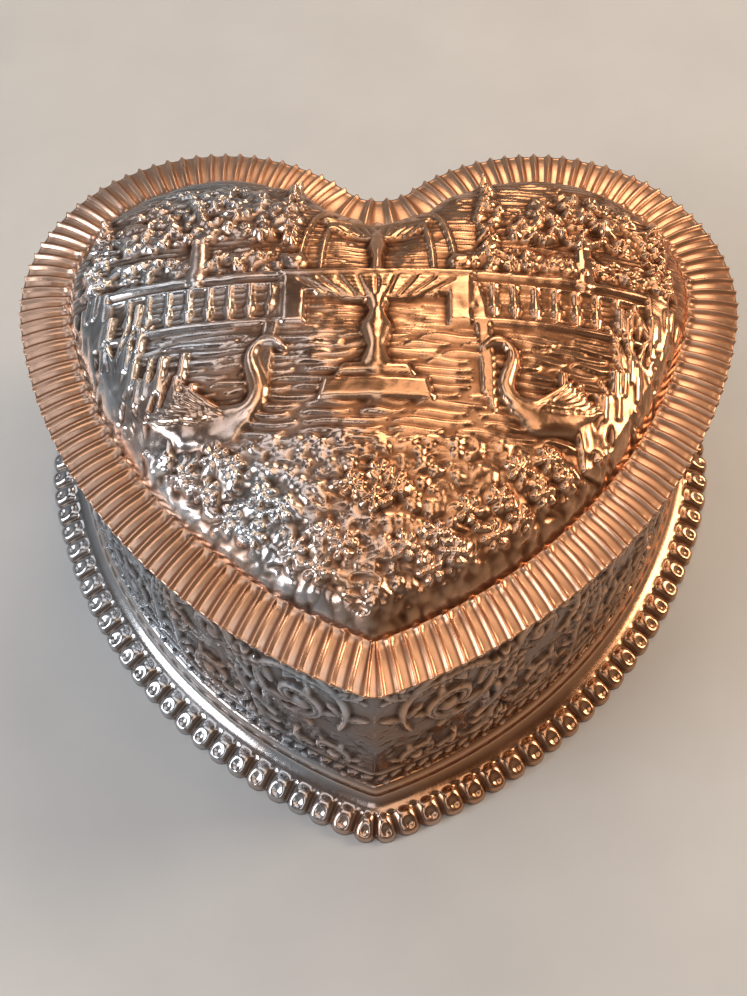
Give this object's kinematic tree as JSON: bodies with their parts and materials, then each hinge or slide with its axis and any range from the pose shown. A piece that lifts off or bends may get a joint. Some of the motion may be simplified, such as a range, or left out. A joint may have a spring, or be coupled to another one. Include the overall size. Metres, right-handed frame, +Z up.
{
  "type": "wind-up music box",
  "caption": "Heart-shaped silver-plated music box with a hinged embossed lid, a lined trinket tray, a winding key under the floor and a pinned-cylinder comb movement.",
  "frame": {"origin": "on the table, under the middle of the foot's box", "axes": "+Z up, +X to the right seen from the front, the tip of the heart towards -Y"},
  "size_m": [0.1272, 0.1132, 0.0651],
  "materials": {
    "silver_plate": "polished, embossed, warm patina in the recesses",
    "velvet": "short pile",
    "card": "matt",
    "brass": "satin",
    "cast_bed": "sand blasted",
    "steel": "ground",
    "fly_metal": "satin"
  },
  "bodies": {
    "case": {"body_wall": "silver_plate", "foot_flange": "silver_plate", "floor_plate": "silver_plate", "tray_lining": "velvet", "side_lining": "velvet", "inner_tray": "card", "left_body_leaf": "brass", "right_body_leaf": "brass", "left_bracket": "brass", "right_bracket": "brass", "governor_frame": "brass", "bed_plate": "cast_bed", "left_hinge_pin": "steel", "right_hinge_pin": "steel", "movement_screws": "steel", "click_screw": "steel", "comb": "steel", "comb_screws": "steel", "governor_screw": "steel"},
    "lid": {"lid_cover": "silver_plate", "lid_lining": "velvet", "left_lid_leaf": "brass", "right_lid_leaf": "brass"},
    "winder": {"winding_key": "brass", "winding_arbor": "steel", "ratchet_wheel": "steel"},
    "barrel": {"spring_barrel": "brass", "barrel_cover": "brass", "mainspring": "steel"},
    "cylinder_train": {"cylinder": "brass", "cylinder_arbor": "steel", "contrate_wheel": "brass", "cylinder_wheel": "brass"},
    "governor_wheel": {"governor_arbor": "steel", "worm_wheel": "brass"},
    "fly_train": {"fly_shaft": "steel", "fly": "fly_metal"},
    "click_lever": {"click": "steel"},
    "stop": {"stop_rod": "steel"}
  },
  "joints": [
    {"name": "lid_hinge", "type": "hinge", "parent": "case", "child": "lid", "pos_m": [0, 0.05077, 0.0476], "axis": [-1, 0, 0], "range_deg": [0, 100]},
    {"name": "key_turn", "type": "hinge", "parent": "case", "child": "winder", "pos_m": [-0.015, 0.01397, 0.005], "axis": [0, 0, 1], "continuous": true},
    {"name": "barrel_turn", "type": "hinge", "parent": "case", "child": "barrel", "pos_m": [-0.015, 0.01397, 0.02], "axis": [0, 0, 1], "continuous": true},
    {"name": "cylinder_turn", "type": "hinge", "parent": "case", "child": "cylinder_train", "pos_m": [0.0114, 0.01397, 0.024], "axis": [1, 0, 0], "continuous": true},
    {"name": "governor_turn", "type": "hinge", "parent": "case", "child": "governor_wheel", "pos_m": [0.02471, 0.02367, 0.024], "axis": [1, 0, 0], "continuous": true},
    {"name": "fly_turn", "type": "hinge", "parent": "case", "child": "fly_train", "pos_m": [0.02471, 0.02897, 0.024], "axis": [0, 0, 1], "continuous": true},
    {"name": "click_swing", "type": "hinge", "parent": "case", "child": "click_lever", "pos_m": [-0.0068, 0.00797, 0.0135], "axis": [0, 0, -1], "range_deg": [0, 12], "stiffness_Nm_per_rad": 0.0005},
    {"name": "stop_slide", "type": "slide", "parent": "case", "child": "stop", "axis": [0, 0, 1], "range_m": [0, 0.004]}
  ],
  "couplings": [
    {"joint": "cylinder_turn", "follows": "barrel_turn", "ratio": 2},
    {"joint": "governor_turn", "follows": "barrel_turn", "ratio": -6},
    {"joint": "fly_turn", "follows": "barrel_turn", "ratio": 120},
    {"joint": "stop_slide", "follows": "lid_hinge", "m_per_rad": 0.00229}
  ]
}
